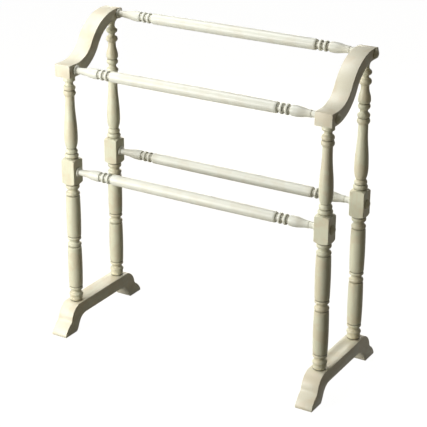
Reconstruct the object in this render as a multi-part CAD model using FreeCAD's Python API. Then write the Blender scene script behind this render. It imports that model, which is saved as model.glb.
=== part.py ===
import FreeCAD
import Part

import math
import os

# Two-tier turned-wood quilt rack, in millimetres.
#
# Two end frames stand on trestle feet. Each holds a short front post and a tall rear post under
# an S-curved arm. Four turned rails join the frames. At both ends of each rail a bolt runs through
# the arm or post into a threaded insert, and a domed button covers the bolt head.
#
# Frame: +X runs along the rails, -Y is the front and +Z is up. The origin lies on the floor, under
# the middle of the rack.

# ---- Driving dimensions ----

# Layout
frame_spacing = 739.0           # middle of one end frame to the middle of the other
post_spacing = 192.6            # front post axis to rear post axis

# Trestle foot
foot_width = 46.0
foot_height = 77.0
foot_top_margin = 19.5          # flat top beyond each post axis
toe_run = 63.0                  # from the end of the flat top to the tip of the toe
lobe_run = 33.5                 # the upper lobe's share of that run
lobe_drop = 37.0                # how far the upper lobe falls
lobe_bulge = 7.2                # how far its curve stands off its chord
hollow_run = 5.5                # the hollow below the lobe
hollow_drop = 8.0
hollow_depth = 0.8
toe_bulge = 2.6                 # the lower lobe's curve off its chord
toe_tip_height = 5.0            # upright nose at the tip
sole_edge_radius = 1.5
pad_length = 47.5               # sole of each toe
heel_run = 5.0                  # rounded end of each sole, under the arch
heel_rise = 2.2
heel_bulge = 0.8
arch_run = 50.0                 # from the end of a sole to the level part of the arch
arch_height = 42.0
arch_heel_lead = (10.0, 8.0)    # the arch's curve leaves the heel along this
arch_crown_lead = 36.0          # and comes level over this length

# Arm
arm_width = 45.0
arm_front_thickness = 33.0
arm_rear_thickness = 28.0
arm_front_overhang = 27.9       # square front end beyond the front post axis
arm_rear_overhang = 22.7        # nose of the rear end beyond the rear post axis
arm_end_rake = 8.0              # the rear end leans back this far from its top corner to its nose
arm_nose_height = 9.0           # nose above the underside
arm_nose_bulge = 2.2
top_sweep_lead = 1.5            # the top's S-curve starts this far behind the front post axis
top_sweep_lag = 8.3             # and reaches its crest this far before the rear post axis
top_sweep_split = 0.38          # share of the S-curve taken by its lower arc
under_sweep_lead = -3.7         # the same three values for the underside
under_sweep_lag = 6.3
under_sweep_split = 0.55

# Posts, from the foot upwards
block_width = 39.5              # square block that carries a lower rail
block_height = 58.0             # flat faces between the turned shoulders
shoulder_height = 6.0
shoulder_bulge = 1.2
block_corner_clearance = 1.0    # the blank is turned this far outside the block's corners
seam_angle = 30.0               # turns each post's surface seam clear of its bores and corners
neck_at_shoulder = 18.4         # turned radius where a shoulder ends
taper_lead = 0.45               # share of a taper that leaves and arrives straight
belly_lead = 0.6                # share of a belly or flare that bends most
bun_height = 11.5
bun_foot_radius = 12.9
bun_radius = 16.8
cylinder_radius = 19.3
cylinder_edge_radius = 18.3     # the plain cylinders are slightly barrel shaped
lower_cylinder_height = 113.0
upper_cylinder_height = 113.0
groove_height = 3.2
groove_radius = 16.6
collar_bead_height = 9.0
collar_bead_radius = 18.6
collar_cove_height = 9.8
collar_cove_radius = 13.0
collar_ring_height = 7.8
collar_ring_radius = 18.5
block_ring_height = 10.3        # the taller ring of the collar under the block
lower_bead_height = 11.3        # the two beads between the block and the long vase
lower_bead_radius = 18.4
lower_valley_radius = 14.4
upper_bead_height = 13.0
upper_bead_radius = 16.4
vase_foot_radius = 12.4
vase_belly_height = 30.0        # from the vase's foot to its widest place
vase_belly_radius = 17.6
vase_taper_height = 104.0
vase_neck_radius = 12.3
vase_neck_height = 9.0
head_bead_height = 16.0         # the two beads above the long vase
head_bead_radius = 16.3
head_valley_radius = 13.0
small_bead_height = 12.2
small_bead_radius = 15.8
head_neck_height = 11.0
head_neck_radius = 9.8
head_ring_radius = 15.4
head_ring_height = 15.5         # under the arm on a front post
head_lip_height = 5.2           # rounded lower edge of that ring
head_lip_bulge = 1.3
mid_ring_height = 13.0          # the same ring on a rear post, where the turning goes on
short_vase_foot_radius = 12.2
short_belly_height = 8.5
short_belly_radius = 15.8
short_taper_height = 33.0
short_neck_radius = 10.3
short_neck_height = 5.0
crown_bead_height = 16.0
crown_bead_radius = 15.6
crown_cove_height = 10.0
crown_cove_radius = 8.4
top_bead_height = 11.5
top_bead_radius = 15.3
top_neck_height = 7.0
top_neck_radius = 8.3
top_flare_height = 16.0         # trumpet flare that carries the arm
top_lip_height = 6.0
top_lip_radius = 13.5

# Rails, from each end inwards
flange_thickness = 5.5
flange_radius = 13.0
flange_edge_radius = 1.6
flange_inner_fillet = 1.4       # sloped back from the flange to the neck
rail_neck_radius = 8.2
rail_neck_length = 14.0
rail_quirk = 0.9                # step from the neck up to the teardrop
teardrop_taper = 42.0
teardrop_radius = 13.6
teardrop_tail = 9.6
teardrop_tail_radius = 12.6
rail_groove_width = 8.0
rail_groove_radius = 9.8
rail_bead_width = 6.6
rail_bead_radius = 13.8
rail_groove_count = 3
rail_shoulder_radius = 12.8
rail_edge_length = 3.0
rail_edge_bulge = 0.4
rail_end_radius = 14.0
rail_middle_radius = 14.8
rear_rail_rise = 13.4           # rear rail axis above the underside of the arm's rear end

# Joinery
foot_tenon_radius = 9.0
foot_tenon_length = 28.0
arm_tenon_radius = 8.0
tenon_cover = 3.5               # tenon left above the bolt that crosses it
rail_spigot_radius = 7.0
rail_spigot_length = 8.0
fit_clearance = 0.1             # radial, round the tenons, spigots, buttons and inserts
end_clearance = 0.8             # beyond the end of each tenon, spigot and bolt

# Fixings
bolt_radius = 3.0
bolt_hole_clearance = 0.3       # radial
thread_clearance = 0.05         # radial, between the bolt and the insert
bolt_head_radius = 5.0
bolt_head_height = 5.5
socket_across_flats = 5.0
socket_depth = 3.0
bolt_reach = 12.0               # how far the bolt runs into the rail from its end face
washer_radius = 6.8
washer_thickness = 1.5
button_radius = 12.0
button_edge_height = 1.4
button_height = 8.0
button_shank_radius = 7.0
button_shank_length = 5.0
head_room = 1.0                 # between a bolt head and the button's shank
insert_radius = 4.6
insert_length = 14.0

overcut = 1.0                   # how far a cutter runs past the face it opens

# ---- Positions worked out from the driving dimensions ----

front_y = -post_spacing / 2
rear_y = post_spacing / 2
toe_tip = post_spacing / 2 + foot_top_margin + toe_run

bolt_hole_radius = bolt_radius + bolt_hole_clearance
counterbore_radius = max(button_shank_radius, washer_radius, bolt_head_radius) + fit_clearance
counterbore_depth = button_shank_length + head_room + bolt_head_height + washer_thickness


def vector(x, y, z):
    """A point or direction."""
    return FreeCAD.Vector(x, y, z)


class Outline:
    """A chain of straight and curved edges in one upright plane.

    Each point is (across, up). The plane is XZ for a turned piece, where across is the radius,
    and YZ for a board, where across runs from front to back.
    """

    def __init__(self, across, up, plane):
        self.plane = plane
        self.start = (across, up)
        self.here = (across, up)
        self.edges = []

    def point(self, place):
        """The 3D point of an (across, up) place."""
        across, up = place
        if self.plane == "XZ":
            return vector(across, 0, up)
        return vector(0, across, up)

    def line(self, across, up):
        """A straight edge to a place."""
        if math.dist(self.here, (across, up)) > 1e-9:
            edge = Part.LineSegment(self.point(self.here), self.point((across, up)))
            self.edges.append(edge.toShape())
        self.here = (across, up)

    def arc(self, across, up, bulge):
        """An arc to a place, its middle standing bulge to the right of the way it travels."""
        run = across - self.here[0]
        rise = up - self.here[1]
        chord = math.hypot(run, rise)
        middle = (
            self.here[0] + run / 2 + bulge * rise / chord,
            self.here[1] + rise / 2 - bulge * run / chord,
        )
        places = (self.here, middle, (across, up))
        self.edges.append(Part.Arc(*[self.point(place) for place in places]).toShape())
        self.here = (across, up)

    def curve(self, *places):
        """A Bezier curve to the last place, pulled towards the places before it."""
        curve = Part.BezierCurve()
        curve.setPoles([self.point(place) for place in (self.here, *places)])
        self.edges.append(curve.toShape())
        self.here = places[-1]

    def face(self):
        """The closed face inside the outline."""
        self.line(*self.start)
        return Part.Face(Part.Wire(self.edges))


class Turning(Outline):
    """The half outline of a lathe-turned piece, drawn upwards as radius against height."""

    def __init__(self, radius, height):
        super().__init__(0, height, "XZ")
        self.line(radius, height)

    def step(self, radius):
        """A flat shoulder out or in to a radius."""
        self.line(radius, self.here[1])

    def rise(self, height, radius=None):
        """A straight or tapered stretch."""
        self.line(self.here[0] if radius is None else radius, self.here[1] + height)

    def swell(self, height, end_radius, middle_radius):
        """A bead, a cove or a barrel: an arc through middle_radius halfway up."""
        chord_middle = (self.here[0] + end_radius) / 2
        rise = height / math.hypot(height, end_radius - self.here[0])
        self.arc(end_radius, self.here[1] + height, (middle_radius - chord_middle) / rise)

    def taper(self, height, radius):
        """A long S-curve that leaves one radius and arrives at another straight up."""
        lead = height * taper_lead
        top = self.here[1] + height
        self.curve((self.here[0], self.here[1] + lead), (radius, top - lead), (radius, top))

    def belly(self, height, radius):
        """A curve that leaves on a slant and arrives straight up."""
        top = self.here[1] + height
        self.curve((radius, top - height * belly_lead), (radius, top))

    def flare(self, height, radius):
        """A curve that leaves straight up and arrives on a slant."""
        top = self.here[1] + height
        self.curve((self.here[0], self.here[1] + height * belly_lead), (radius, top))

    def solid(self):
        """The turned solid about the Z axis."""
        self.line(0, self.here[1])
        return self.face().revolve(vector(0, 0, 0), vector(0, 0, 1), 360)


def rod(radius, start_x, end_x, y, z):
    """A cylinder along X between two places."""
    low = min(start_x, end_x)
    return Part.makeCylinder(radius, abs(end_x - start_x), vector(low, y, z), vector(1, 0, 0))


def board(face, width):
    """A board cut to an outline in the YZ plane, centred on X = 0."""
    face.translate(vector(-width / 2, 0, 0))
    return face.extrude(vector(width, 0, 0))


# ---- Posts ----


def add_collar(turning, ring_height, end_radius):
    """A groove, a bead, a cove, a ring and a groove, ending at end_radius."""
    turning.step(groove_radius)
    turning.rise(groove_height)
    turning.swell(collar_bead_height, groove_radius, collar_bead_radius)
    turning.swell(collar_cove_height, groove_radius, collar_cove_radius)
    turning.swell(ring_height, groove_radius, collar_ring_radius)
    turning.rise(groove_height)
    turning.step(end_radius)


def add_cylinder(turning, height):
    """A plain stretch, slightly barrel shaped."""
    turning.swell(height, cylinder_edge_radius, cylinder_radius)


def add_lower_turning(turning):
    """From the foot up to the square block."""
    turning.swell(bun_height, groove_radius, bun_radius)
    add_collar(turning, collar_ring_height, cylinder_edge_radius)
    add_cylinder(turning, lower_cylinder_height)
    add_collar(turning, collar_ring_height, cylinder_edge_radius)
    add_cylinder(turning, upper_cylinder_height)
    add_collar(turning, block_ring_height, neck_at_shoulder)


def add_block_blank(turning):
    """The block, turned clear of its corners: rounded shoulders and a full-width stretch."""
    corner_radius = block_width / math.sqrt(2) + block_corner_clearance
    turning.arc(corner_radius, turning.here[1] + shoulder_height, shoulder_bulge)
    turning.rise(block_height)
    turning.arc(neck_at_shoulder, turning.here[1] + shoulder_height, shoulder_bulge)


def add_upper_turning(turning):
    """From the square block up to the neck below the head ring."""
    turning.step(groove_radius)
    turning.rise(groove_height)
    turning.swell(lower_bead_height, lower_valley_radius, lower_bead_radius)
    turning.swell(upper_bead_height, vase_foot_radius, upper_bead_radius)
    turning.belly(vase_belly_height, vase_belly_radius)
    turning.taper(vase_taper_height, vase_neck_radius)
    turning.rise(vase_neck_height)
    turning.swell(head_bead_height, head_valley_radius, head_bead_radius)
    turning.swell(small_bead_height, head_valley_radius, small_bead_radius)
    turning.swell(head_neck_height, head_valley_radius, head_neck_radius)


def add_front_head(turning, recess):
    """The head ring of a front post, which stands in a shallow recess under the arm."""
    turning.arc(head_ring_radius, turning.here[1] + head_lip_height, head_lip_bulge)
    turning.rise(head_ring_height - head_lip_height + recess)


def add_rear_head(turning):
    """The rear post's turning above the ring that matches the front post's head."""
    turning.swell(mid_ring_height, short_vase_foot_radius, head_ring_radius)
    turning.belly(short_belly_height, short_belly_radius)
    turning.taper(short_taper_height, short_neck_radius)
    turning.rise(short_neck_height)
    turning.swell(crown_bead_height, short_vase_foot_radius, crown_bead_radius)
    turning.swell(crown_cove_height, short_vase_foot_radius, crown_cove_radius)
    turning.swell(top_bead_height, short_vase_foot_radius, top_bead_radius)
    turning.belly(top_neck_height, top_neck_radius)
    turning.flare(top_flare_height, top_lip_radius)
    turning.rise(top_lip_height)


collar_height = 2 * groove_height + collar_bead_height + collar_cove_height
lower_turning_height = (
    bun_height
    + 3 * collar_height
    + 2 * collar_ring_height
    + block_ring_height
    + lower_cylinder_height
    + upper_cylinder_height
)
block_middle_z = foot_height + lower_turning_height + shoulder_height + block_height / 2
upper_turning_height = (
    groove_height
    + lower_bead_height
    + upper_bead_height
    + vase_belly_height
    + vase_taper_height
    + vase_neck_height
    + head_bead_height
    + small_bead_height
    + head_neck_height
)
neck_z = block_middle_z + block_height / 2 + shoulder_height + upper_turning_height
front_underside_z = neck_z + head_ring_height
rear_underside_z = neck_z + sum((
    mid_ring_height,
    short_belly_height,
    short_taper_height,
    short_neck_height,
    crown_bead_height,
    crown_cove_height,
    top_bead_height,
    top_neck_height,
    top_flare_height,
    top_lip_height,
))

# Rail axes: each upper rail is over its post, inside the arm, and each lower one through the block
front_rail_z = front_underside_z + arm_front_thickness / 2
rear_rail_z = rear_underside_z + rear_rail_rise


class Sweep:
    """An S-curve of two arcs, level at both ends and tangent where they meet."""

    def __init__(self, start, end, split):
        run = end[0] - start[0]
        rise = end[1] - start[1]
        self.start = start
        self.end = end
        self.slope = 2 * math.atan2(rise, run)
        both_radii = run / math.sin(self.slope)
        self.low_radius = both_radii * split
        self.high_radius = both_radii * (1 - split)
        self.meeting = (
            start[0] + self.low_radius * math.sin(self.slope),
            start[1] + self.low_radius * (1 - math.cos(self.slope)),
        )

    def rise_after(self, distance):
        """How far the curve has climbed at a distance from its lower end, on the lower arc."""
        return self.low_radius - math.sqrt(self.low_radius**2 - distance**2)

    def fall_beyond(self, distance):
        """How far the upper arc's circle falls at a distance past its crest."""
        return self.high_radius - math.sqrt(self.high_radius**2 - distance**2)

    def sagitta(self, radius):
        """How far the middle of either arc stands off its chord."""
        return radius * (1 - math.cos(self.slope / 2))


arm_under = Sweep(
    (front_y + under_sweep_lead, front_underside_z),
    (rear_y - under_sweep_lag, rear_underside_z),
    under_sweep_split,
)
arm_top = Sweep(
    (front_y + top_sweep_lead, front_underside_z + arm_front_thickness),
    (rear_y - top_sweep_lag, rear_underside_z + arm_rear_thickness),
    top_sweep_split,
)

# The underside already climbs behind the front post, so its head goes into a recess that deep
head_recess = arm_under.rise_after(head_ring_radius - under_sweep_lead)


def post(side, is_front):
    """One turned post with its square block and round tenons."""
    y = front_y if is_front else rear_y
    turning = Turning(foot_tenon_radius, foot_height - foot_tenon_length)
    turning.rise(foot_tenon_length)
    turning.step(bun_foot_radius)
    add_lower_turning(turning)
    add_block_blank(turning)
    add_upper_turning(turning)
    if is_front:
        add_front_head(turning, head_recess)
        rail_z = front_rail_z
    else:
        add_rear_head(turning)
        rail_z = rear_rail_z
    turning.step(arm_tenon_radius)
    turning.line(arm_tenon_radius, rail_z + bolt_hole_radius + tenon_cover)
    turned = turning.solid()
    turned.rotate(vector(0, 0, 0), vector(0, 0, 1), seam_angle)

    # Square the block: inside its height the turned blank keeps only what is inside the square
    block_z = block_middle_z - block_height / 2 - shoulder_height
    square = Part.makeBox(
        block_width,
        block_width,
        block_height + 2 * shoulder_height,
        vector(-block_width / 2, -block_width / 2, block_z),
    )
    sleeve = Part.makeCylinder(block_width, block_height + 2 * shoulder_height, vector(0, 0, block_z))
    shape = turned.cut(sleeve.cut(square))
    shape.translate(vector(side * frame_spacing / 2, y, 0))
    shape = shape.cut(joint_cavity(side, block_width, y, block_middle_z))
    shape = shape.cut(joint_cavity(side, arm_width, y, rail_z))
    return shape


# ---- Feet ----


def foot(side):
    """One trestle foot: flat top, toes in two lobes, an arch between the soles."""
    flat_end = post_spacing / 2 + foot_top_margin
    lobe_end = (flat_end + lobe_run, foot_height - lobe_drop)
    toe_start = (lobe_end[0] + hollow_run, lobe_end[1] - hollow_drop)
    sole_end = toe_tip - pad_length
    sole_corner_bulge = sole_edge_radius * (1 - math.sqrt(0.5))

    outline = Outline(-flat_end, foot_height, "YZ")
    outline.line(flat_end, foot_height)
    outline.arc(*lobe_end, -lobe_bulge)
    outline.arc(*toe_start, hollow_depth)
    outline.arc(toe_tip, toe_tip_height, -toe_bulge)
    outline.line(toe_tip, sole_edge_radius)
    outline.arc(toe_tip - sole_edge_radius, 0, -sole_corner_bulge)
    outline.line(sole_end, 0)
    add_arch(outline, sole_end)
    outline.line(-toe_tip + sole_edge_radius, 0)
    outline.arc(-toe_tip, sole_edge_radius, -sole_corner_bulge)
    outline.line(-toe_tip, toe_tip_height)
    outline.arc(-toe_start[0], toe_start[1], -toe_bulge)
    outline.arc(-lobe_end[0], lobe_end[1], hollow_depth)
    outline.arc(-flat_end, foot_height, -lobe_bulge)
    shape = board(outline.face(), foot_width)
    depth = foot_tenon_length + end_clearance
    for y in (front_y, rear_y):
        place = vector(0, y, foot_height - depth)
        shape = shape.cut(Part.makeCylinder(foot_tenon_radius + fit_clearance, depth + overcut, place))
    shape.translate(vector(side * frame_spacing / 2, 0, 0))
    return shape


def add_arch(outline, sole_end):
    """The underside from the rear sole to the front sole: up from the heel, level, and down."""
    heel = (sole_end - heel_run, heel_rise)
    heel_pull = (heel[0] - arch_heel_lead[0], heel_rise + arch_heel_lead[1])
    crown = (sole_end - arch_run, arch_height)
    crown_pull = (crown[0] + arch_crown_lead, arch_height)
    outline.arc(*heel, -heel_bulge)
    outline.curve(heel_pull, crown_pull, crown)
    outline.line(-crown[0], arch_height)
    outline.curve((-crown_pull[0], arch_height), (-heel_pull[0], heel_pull[1]), (-heel[0], heel_rise))
    outline.arc(-sole_end, 0, -heel_bulge)


# ---- Arms ----


def arm(side):
    """One S-curved arm with mortises for both posts and fixings for both upper rails."""
    front_end = front_y - arm_front_overhang
    nose = (rear_y + arm_rear_overhang, rear_underside_z + arm_nose_height)
    top_corner_y = nose[0] - arm_end_rake
    top_corner = (top_corner_y, arm_top.end[1] - arm_top.fall_beyond(top_corner_y - arm_top.end[0]))
    chin = (nose[0] - arm_nose_height, rear_underside_z)

    outline = Outline(front_end, front_underside_z, "YZ")
    outline.line(*arm_under.start)
    outline.arc(*arm_under.meeting, arm_under.sagitta(arm_under.low_radius))
    outline.arc(*arm_under.end, -arm_under.sagitta(arm_under.high_radius))
    outline.line(*chin)
    outline.arc(*nose, arm_nose_bulge)
    outline.line(*top_corner)
    crown_chord = math.dist(top_corner, arm_top.end)
    outline.arc(*arm_top.end, arm_top.fall_beyond(crown_chord / 2))
    outline.arc(*arm_top.meeting, arm_top.sagitta(arm_top.high_radius))
    outline.arc(*arm_top.start, -arm_top.sagitta(arm_top.low_radius))
    outline.line(front_end, arm_top.start[1])
    shape = board(outline.face(), arm_width)

    for y, rail_z, seat_z, head_radius in (
        (front_y, front_rail_z, front_underside_z + head_recess, head_ring_radius),
        (rear_y, rear_rail_z, rear_underside_z, top_lip_radius),
    ):
        tenon_top = rail_z + bolt_hole_radius + tenon_cover
        mortise_height = tenon_top + end_clearance - seat_z
        mortise = Part.makeCylinder(arm_tenon_radius + fit_clearance, mortise_height, vector(0, y, seat_z))
        below = vector(0, y, seat_z - arm_front_thickness)
        seat = Part.makeCylinder(head_radius + fit_clearance, arm_front_thickness, below)
        shape = shape.cut(mortise).cut(seat)
    shape.translate(vector(side * frame_spacing / 2, 0, 0))
    shape = shape.cut(joint_cavity(side, arm_width, front_y, front_rail_z))
    return shape.cut(joint_cavity(side, arm_width, rear_y, rear_rail_z))


# ---- Rails and their fixings ----


class RailEnd:
    """One end of one rail, and the places of its fixings along X."""

    def __init__(self, side, host_width, y, z):
        self.side = side
        self.y = y
        self.z = z
        self.outer_face = frame_spacing / 2 + host_width / 2
        self.inner_face = frame_spacing / 2 - host_width / 2

    def rod(self, radius, start_x, end_x):
        """A cylinder along the rail's axis between two distances from the middle of the rack."""
        return rod(radius, self.side * start_x, self.side * end_x, self.y, self.z)

    def place(self, shape, x):
        """Turns a shape made about +Z to point outwards along X, and moves it to its place."""
        shape.rotate(vector(0, 0, 0), vector(0, 1, 0), 90 * self.side)
        shape.translate(vector(self.side * x, self.y, self.z))
        return shape


def joint_cavity(side, host_width, y, z):
    """What one rail fixing needs cut from an arm or post: counterbore, bolt hole, spigot recess."""
    end = RailEnd(side, host_width, y, z)
    floor = end.outer_face - counterbore_depth
    counterbore = end.rod(counterbore_radius, floor, end.outer_face + overcut)
    hole = end.rod(bolt_hole_radius, end.inner_face - overcut, end.outer_face)
    recess_end = end.inner_face + rail_spigot_length + end_clearance
    recess = end.rod(rail_spigot_radius + fit_clearance, end.inner_face - overcut, recess_end)
    return counterbore.fuse([hole, recess])


def rail(host_width, y, z):
    """One turned rail, between the inner faces of its two hosts, bored for inserts and bolts."""
    half_length = (frame_spacing - host_width) / 2

    turning = Turning(rail_spigot_radius, 0)
    turning.rise(rail_spigot_length)
    turning.step(flange_radius - flange_edge_radius)
    turning.swell(flange_thickness, flange_radius - flange_edge_radius, flange_radius)
    turning.line(rail_neck_radius, turning.here[1] + flange_inner_fillet)
    turning.rise(rail_neck_length)
    turning.step(rail_neck_radius + rail_quirk)
    turning.taper(teardrop_taper, teardrop_radius)
    turning.flare(teardrop_tail, teardrop_tail_radius)
    for index in range(rail_groove_count):
        if index:
            turning.step(rail_shoulder_radius)
            turning.swell(rail_bead_width, rail_shoulder_radius, rail_bead_radius)
        turning.step(rail_groove_radius)
        turning.rise(rail_groove_width)
    turning.step(rail_shoulder_radius)
    turning.arc(rail_end_radius, turning.here[1] + rail_edge_length, rail_edge_bulge)
    middle_z = rail_spigot_length + half_length
    plain_length = middle_z - turning.here[1]
    entasis = rail_middle_radius - rail_end_radius
    bow_radius = (plain_length**2 + entasis**2) / (2 * entasis)
    chord = math.hypot(plain_length, entasis)
    bow_bulge = bow_radius - math.sqrt(bow_radius**2 - (chord / 2) ** 2)
    turning.arc(rail_middle_radius, middle_z, bow_bulge)
    half = turning.solid()
    other = half.mirror(vector(0, 0, middle_z), vector(0, 0, 1))
    shape = half.fuse(other).removeSplitter()
    shape.translate(vector(0, 0, -middle_z))
    shape.rotate(vector(0, 0, 0), vector(0, 1, 0), 90)
    shape.translate(vector(0, y, z))

    for side in (-1, 1):
        end = RailEnd(side, host_width, y, z)
        spigot_end = end.inner_face + rail_spigot_length
        socket_floor = spigot_end - insert_length - end_clearance
        socket = end.rod(insert_radius + fit_clearance, socket_floor, spigot_end + overcut)
        bore_floor = end.inner_face - bolt_reach - end_clearance
        bore = end.rod(bolt_hole_radius, bore_floor, spigot_end + overcut)
        shape = shape.cut(socket).cut(bore)
    return shape


def button(end):
    """A domed button: a mushroom head on the outer face and a shank in the counterbore."""
    turning = Turning(button_shank_radius, -button_shank_length)
    turning.rise(button_shank_length)
    turning.step(button_radius)
    turning.rise(button_edge_height)
    dome_height = button_height - button_edge_height
    dome_radius = (button_radius**2 + dome_height**2) / (2 * dome_height)
    half_chord = math.hypot(button_radius, dome_height) / 2
    turning.arc(0, button_height, dome_radius - math.sqrt(dome_radius**2 - half_chord**2))
    return end.place(turning.face().revolve(vector(0, 0, 0), vector(0, 0, 1), 360), end.outer_face)


def bolt(end):
    """A socket-head bolt that ends inside the rail."""
    head_inner = end.outer_face - counterbore_depth + washer_thickness
    head_outer = head_inner + bolt_head_height
    tip = end.inner_face - bolt_reach
    shape = end.rod(bolt_radius, tip, head_inner).fuse(end.rod(bolt_head_radius, head_inner, head_outer))
    corner = socket_across_flats / math.sqrt(3)
    angles = [math.radians(60 * index) for index in range(7)]
    hexagon = Part.makePolygon([vector(corner * math.cos(a), corner * math.sin(a), 0) for a in angles])
    socket = Part.Face(Part.Wire(hexagon)).extrude(vector(0, 0, socket_depth + overcut))
    return shape.cut(end.place(socket, head_outer - socket_depth))


def washer(end):
    """A flat washer on the floor of the counterbore."""
    inner = end.outer_face - counterbore_depth
    outer = inner + washer_thickness
    hole = end.rod(bolt_hole_radius, inner - overcut, outer + overcut)
    return end.rod(washer_radius, inner, outer).cut(hole)


def threaded_insert(end):
    """A threaded insert, just inside the end of the rail's spigot."""
    outer = end.inner_face + rail_spigot_length
    inner = outer - insert_length
    bore = end.rod(bolt_radius + thread_clearance, inner - overcut, outer + overcut)
    return end.rod(insert_radius, inner, outer).cut(bore)


# ---- The whole rack ----


def sub_parts():
    """Every piece by name."""
    pieces = {}
    for side, side_name in ((-1, "left"), (1, "right")):
        pieces[f"{side_name}_foot"] = foot(side)
        pieces[f"{side_name}_front_post"] = post(side, True)
        pieces[f"{side_name}_rear_post"] = post(side, False)
        pieces[f"{side_name}_arm"] = arm(side)

    rails = (
        ("upper_front", arm_width, front_y, front_rail_z),
        ("upper_rear", arm_width, rear_y, rear_rail_z),
        ("lower_front", block_width, front_y, block_middle_z),
        ("lower_rear", block_width, rear_y, block_middle_z),
    )
    for rail_name, host_width, y, z in rails:
        pieces[f"{rail_name}_rail"] = rail(host_width, y, z)
        for side, side_name in ((-1, "left"), (1, "right")):
            end = RailEnd(side, host_width, y, z)
            pieces[f"{rail_name}_{side_name}_button"] = button(end)
            pieces[f"{rail_name}_{side_name}_bolt"] = bolt(end)
            pieces[f"{rail_name}_{side_name}_washer"] = washer(end)
            pieces[f"{rail_name}_{side_name}_insert"] = threaded_insert(end)
    return pieces


def main():
    """Writes each piece to its own file."""
    os.makedirs("parts", exist_ok=True)
    for name, shape in sub_parts().items():
        shape.exportStep(f"parts/{name}.step")


main()
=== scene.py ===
import logging
import math
from dataclasses import dataclass, field
from enum import Enum
from typing import Any

import bmesh
import bpy
from mathutils import Matrix, Vector


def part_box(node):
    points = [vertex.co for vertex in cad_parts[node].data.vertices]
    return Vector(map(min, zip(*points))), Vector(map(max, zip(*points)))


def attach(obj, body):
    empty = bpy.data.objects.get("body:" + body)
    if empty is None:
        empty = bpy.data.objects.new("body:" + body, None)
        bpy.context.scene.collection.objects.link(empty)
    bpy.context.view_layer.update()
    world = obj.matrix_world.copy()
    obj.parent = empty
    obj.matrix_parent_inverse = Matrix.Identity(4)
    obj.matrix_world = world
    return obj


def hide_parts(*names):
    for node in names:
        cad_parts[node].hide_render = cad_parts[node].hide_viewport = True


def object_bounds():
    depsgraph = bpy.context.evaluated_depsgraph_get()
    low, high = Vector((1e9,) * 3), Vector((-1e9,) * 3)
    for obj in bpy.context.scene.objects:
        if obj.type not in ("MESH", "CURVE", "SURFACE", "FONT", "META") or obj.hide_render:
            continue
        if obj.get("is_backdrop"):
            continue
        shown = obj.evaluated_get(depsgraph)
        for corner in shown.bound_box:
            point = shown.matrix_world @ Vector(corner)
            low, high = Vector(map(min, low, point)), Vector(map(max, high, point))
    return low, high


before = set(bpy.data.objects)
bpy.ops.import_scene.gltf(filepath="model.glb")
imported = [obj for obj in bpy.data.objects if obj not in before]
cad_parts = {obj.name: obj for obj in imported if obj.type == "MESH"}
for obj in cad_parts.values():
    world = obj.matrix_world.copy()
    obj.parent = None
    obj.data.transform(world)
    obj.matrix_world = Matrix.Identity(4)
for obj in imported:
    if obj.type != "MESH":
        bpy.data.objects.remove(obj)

# A quilt rack in turned beech, painted cream and antiqued with a dark glaze.
#
# Two end frames stand on trestle feet. Each has a short front post and a tall rear post under an
# S-curved arm, and four turned rails join the frames. Sizes are in millimetres and places come
# from the frame, which is in metres.

MM = 0.001
BODY = "root"
SIDES = ("left", "right")
LOG = logging.getLogger("quilt_rack")


def linear(code: str) -> tuple[float, float, float, float]:
    """Turns an sRGB hex colour into the linear values that shaders take.

    Args:
        code: Six hex digits after a hash, such as "#E7E6CF".

    Returns:
        Linear red, green and blue, with an alpha of one.
    """
    shares = [int(code[place : place + 2], 16) / 255 for place in (1, 3, 5)]
    red, green, blue = [
        share / 12.92 if share <= 0.04045 else ((share + 0.055) / 1.055) ** 2.4 for share in shares
    ]
    return red, green, blue, 1.0


def add_node(
    tree: bpy.types.NodeTree,
    kind: str,
    settings: dict[str, Any] | None = None,
    inputs: dict[str | int, Any] | None = None,
) -> bpy.types.Node:
    """Adds a node with its settings, values and links.

    Args:
        tree: The node tree that gets the node.
        kind: The node's type, such as "ShaderNodeMath".
        settings: Properties of the node by name.
        inputs: A value, or the output socket to link, by the input's name or number.

    Returns:
        The new node.
    """
    node = tree.nodes.new(kind)
    for name, value in (settings or {}).items():
        setattr(node, name, value)
    for key, value in (inputs or {}).items():
        socket = node.inputs[key]
        if isinstance(value, bpy.types.NodeSocket):
            tree.links.new(value, socket)
        else:
            socket.default_value = value
    return node


# ---- Finishes ----


class Grain(Enum):
    """The way a piece's wood grain and brush strokes run, as the axis they follow."""

    ALONG_X = 0
    ALONG_Y = 1
    ALONG_Z = 2


def bare_material(name: str) -> tuple[bpy.types.Material, bpy.types.NodeTree, bpy.types.Node]:
    """A new material with a Principled shader on its output.

    Args:
        name: The material's name.

    Returns:
        The material, its tree and the shader.
    """
    material = bpy.data.materials.new(name)
    material.use_nodes = True
    tree = material.node_tree
    tree.nodes.clear()
    shader = add_node(tree, "ShaderNodeBsdfPrincipled")
    add_node(tree, "ShaderNodeOutputMaterial", inputs={"Surface": shader.outputs[0]})
    return material, tree, shader


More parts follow.
